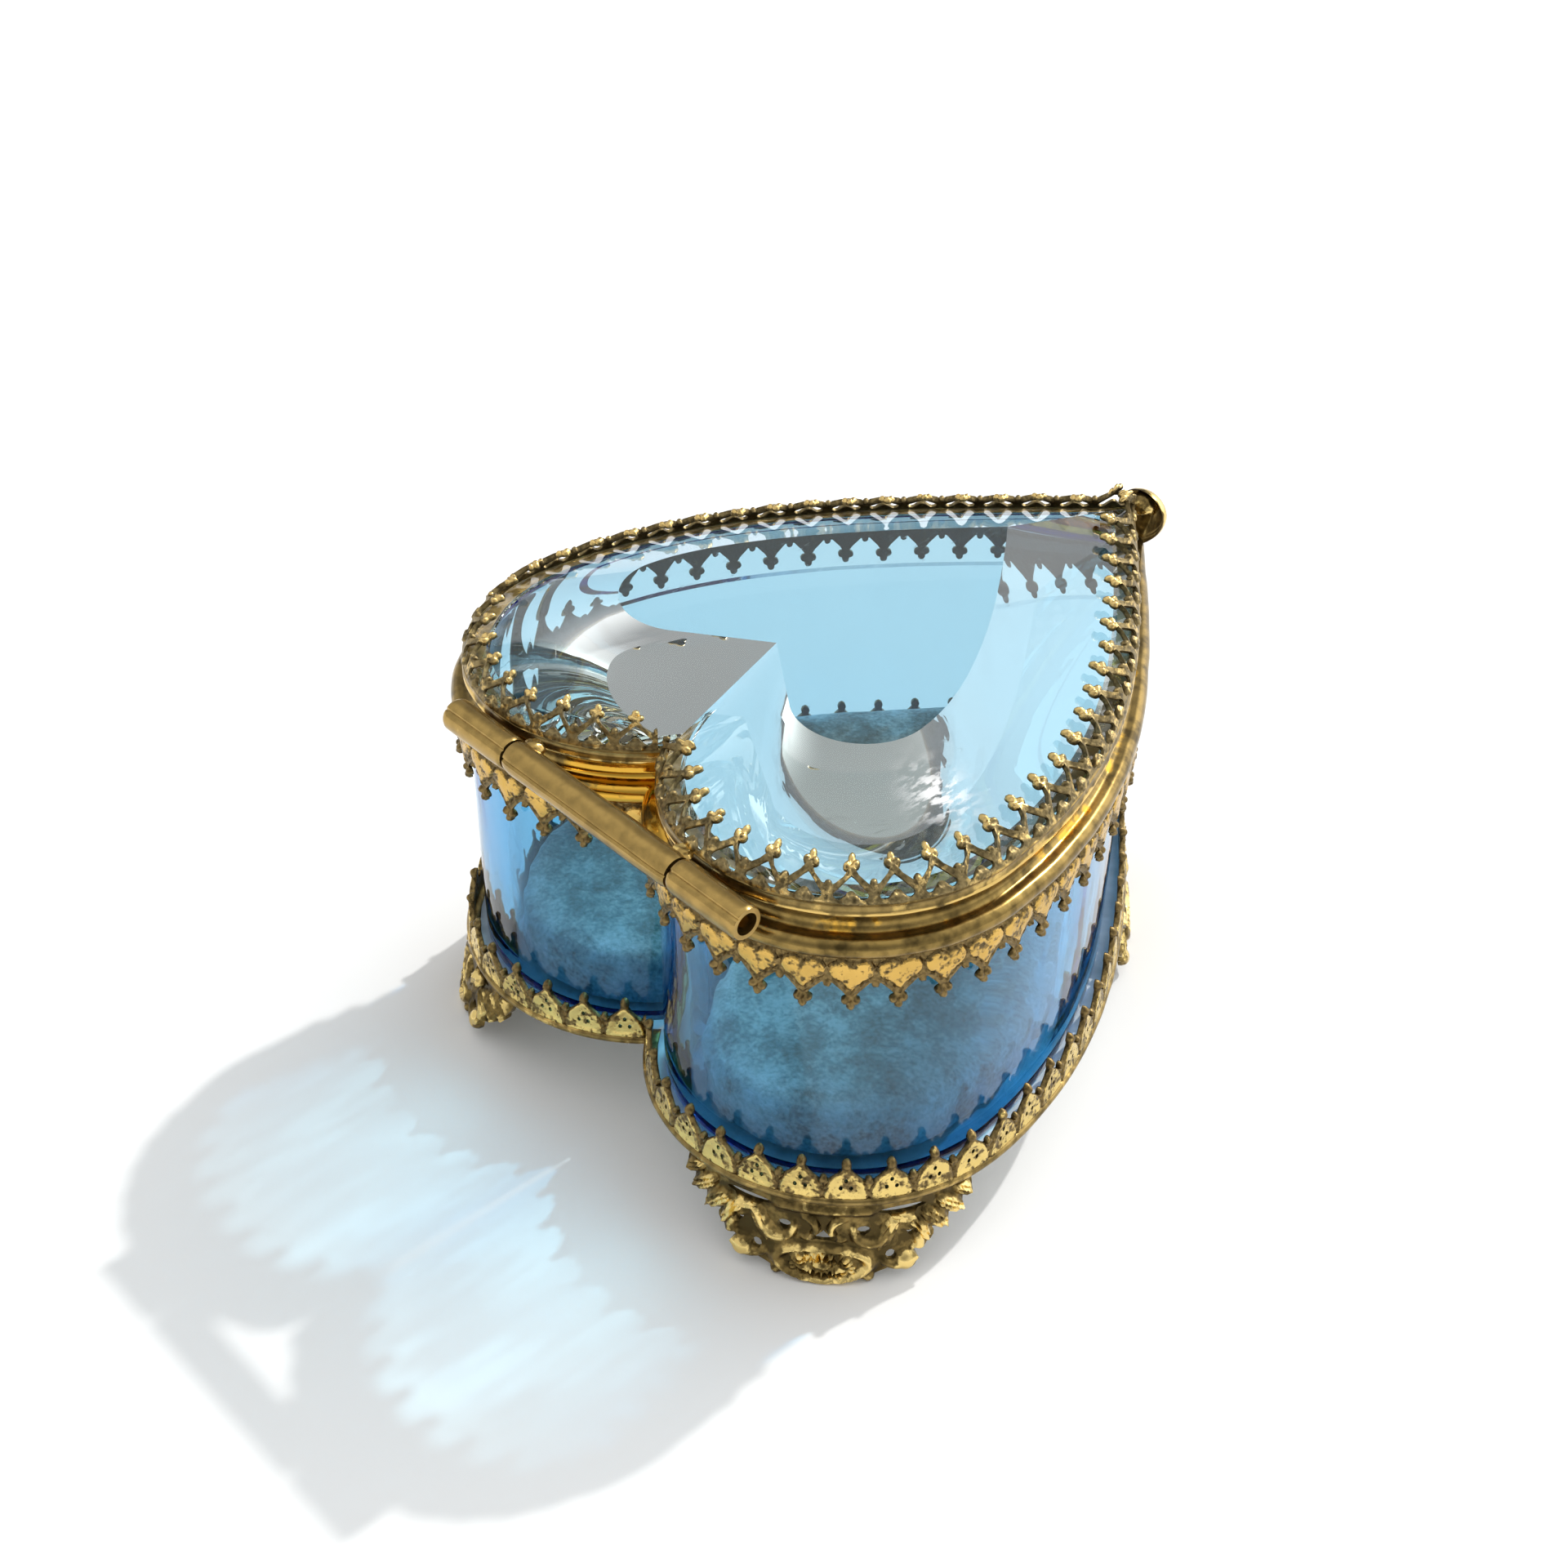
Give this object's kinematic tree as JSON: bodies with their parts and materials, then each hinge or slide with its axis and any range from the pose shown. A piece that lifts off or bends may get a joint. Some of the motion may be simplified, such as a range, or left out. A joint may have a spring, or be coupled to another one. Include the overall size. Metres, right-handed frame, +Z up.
{
  "type": "trinket box",
  "caption": "Heart-shaped trinket box: brass frame with pierced borders, blue glass walls, pressed feet and a bevelled clear-glass lid hinged at the lobes.",
  "frame": {"origin": "middle of the footprint, on the ground under the feet", "axes": "+Z up; the heart's tip and the lift tab point to -Y, the lobes and the hinge to +Y; +X to the right seen from the tip"},
  "size_m": [0.06, 0.0716, 0.0433],
  "materials": {
    "gilt_brass": "pressed, gilt, worn and tarnished",
    "dull_brass": "rolled, satin, brown patina",
    "blue_glass": "polished, slightly wavy",
    "clear_glass": "polished and bevelled, fine scratches",
    "pad_fabric": "worn velvet, matt"
  },
  "bodies": {
    "case": {"base_rim": "dull_brass", "base_plate": "gilt_brass", "base_pad": "pad_fabric", "base_gallery_left": "gilt_brass", "base_gallery_right": "gilt_brass", "glass_side_left": "blue_glass", "glass_side_right": "blue_glass", "body_top_rim": "dull_brass", "body_top_gallery_left": "gilt_brass", "body_top_gallery_right": "gilt_brass", "foot_back_left": "gilt_brass", "foot_back_right": "gilt_brass", "foot_front_left": "gilt_brass", "foot_front_right": "gilt_brass", "hinge_knuckle_body_left": "dull_brass", "hinge_knuckle_body_right": "dull_brass", "hinge_pin": "dull_brass"},
    "lid": {"hinge_knuckle_lid": "dull_brass", "lid_rim": "dull_brass", "lid_glass": "clear_glass", "lid_gallery_left": "gilt_brass", "lid_gallery_right": "gilt_brass", "lift_tab": "gilt_brass"}
  },
  "joints": [
    {"name": "lid_hinge", "type": "hinge", "parent": "case", "child": "lid", "pos_m": [0, 0.03438, 0.0376], "axis": [-1, 0, 0], "range_deg": [0, 105]}
  ]
}
